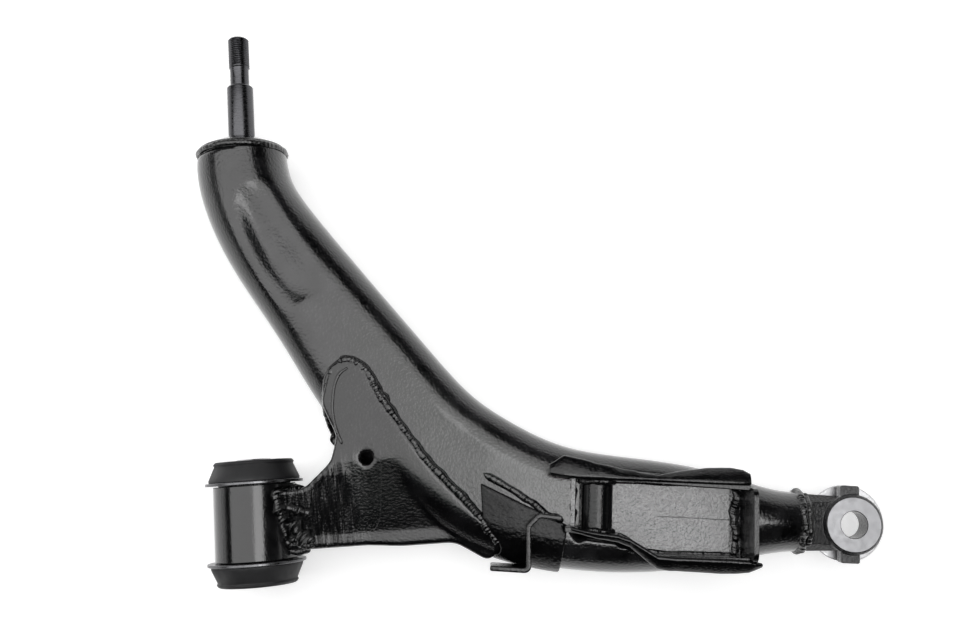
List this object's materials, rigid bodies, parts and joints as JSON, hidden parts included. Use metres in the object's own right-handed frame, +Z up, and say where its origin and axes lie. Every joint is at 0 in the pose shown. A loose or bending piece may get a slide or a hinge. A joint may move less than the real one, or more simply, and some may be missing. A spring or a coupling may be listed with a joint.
{
  "type": "suspension control arm",
  "caption": "L-shaped tubular lower control arm with a threaded front stud, rubber rear bush, open-topped damper channel and forged ball-stud eye",
  "frame": {"origin": "centre of the rear bush, on the axis of its inner sleeve", "axes": "+Y along the pivot axis from the rear bush to the front stud, +X towards the ball-stud eye, +Z up, the side the damper channel opens to"},
  "size_m": [0.4958, 0.4333, 0.0855],
  "materials": {
    "gloss_black_paint": "gloss black dip coating with light orange peel",
    "channel_paint": "satin black dip coating, pebbled",
    "weld_paint": "black coating over rippled weld",
    "forging_paint": "satin black over forged steel, nut face machined bare",
    "blackened_steel": "satin blackened steel",
    "flange_steel": "gloss black over pressed steel, edges bright",
    "sleeve_steel": "turned steel",
    "plated_steel": "satin zinc plate",
    "bush_rubber": "matt moulded rubber"
  },
  "bodies": {
    "arm": {"main_tube": "gloss_black_paint", "stud_end_cap": "gloss_black_paint", "front_stud": "blackened_steel", "bush_housing": "gloss_black_paint", "bush_shell_front": "flange_steel", "bush_shell_rear": "flange_steel", "bush_rubber_front": "bush_rubber", "bush_rubber_rear": "bush_rubber", "branch_upper_shell": "gloss_black_paint", "branch_lower_shell": "gloss_black_paint", "channel_floor": "channel_paint", "channel_front_wall": "gloss_black_paint", "channel_rear_wall": "gloss_black_paint", "channel_end_plate": "gloss_black_paint", "cross_sleeve": "gloss_black_paint", "tube_gusset": "gloss_black_paint", "eye_forging": "forging_paint", "boot_shield": "plated_steel", "harness_bracket": "gloss_black_paint", "stud_cap_weld": "weld_paint", "neck_weld": "weld_paint"},
    "bush_sleeve": {"bush_inner_sleeve": "sleeve_steel"}
  },
  "joints": [
    {"name": "rear_bush_twist", "type": "hinge", "parent": "arm", "child": "bush_sleeve", "pos_m": [0, 0, 0], "axis": [0, 1, 0], "range_deg": [-30, 30], "stiffness_Nm_per_rad": 40}
  ]
}
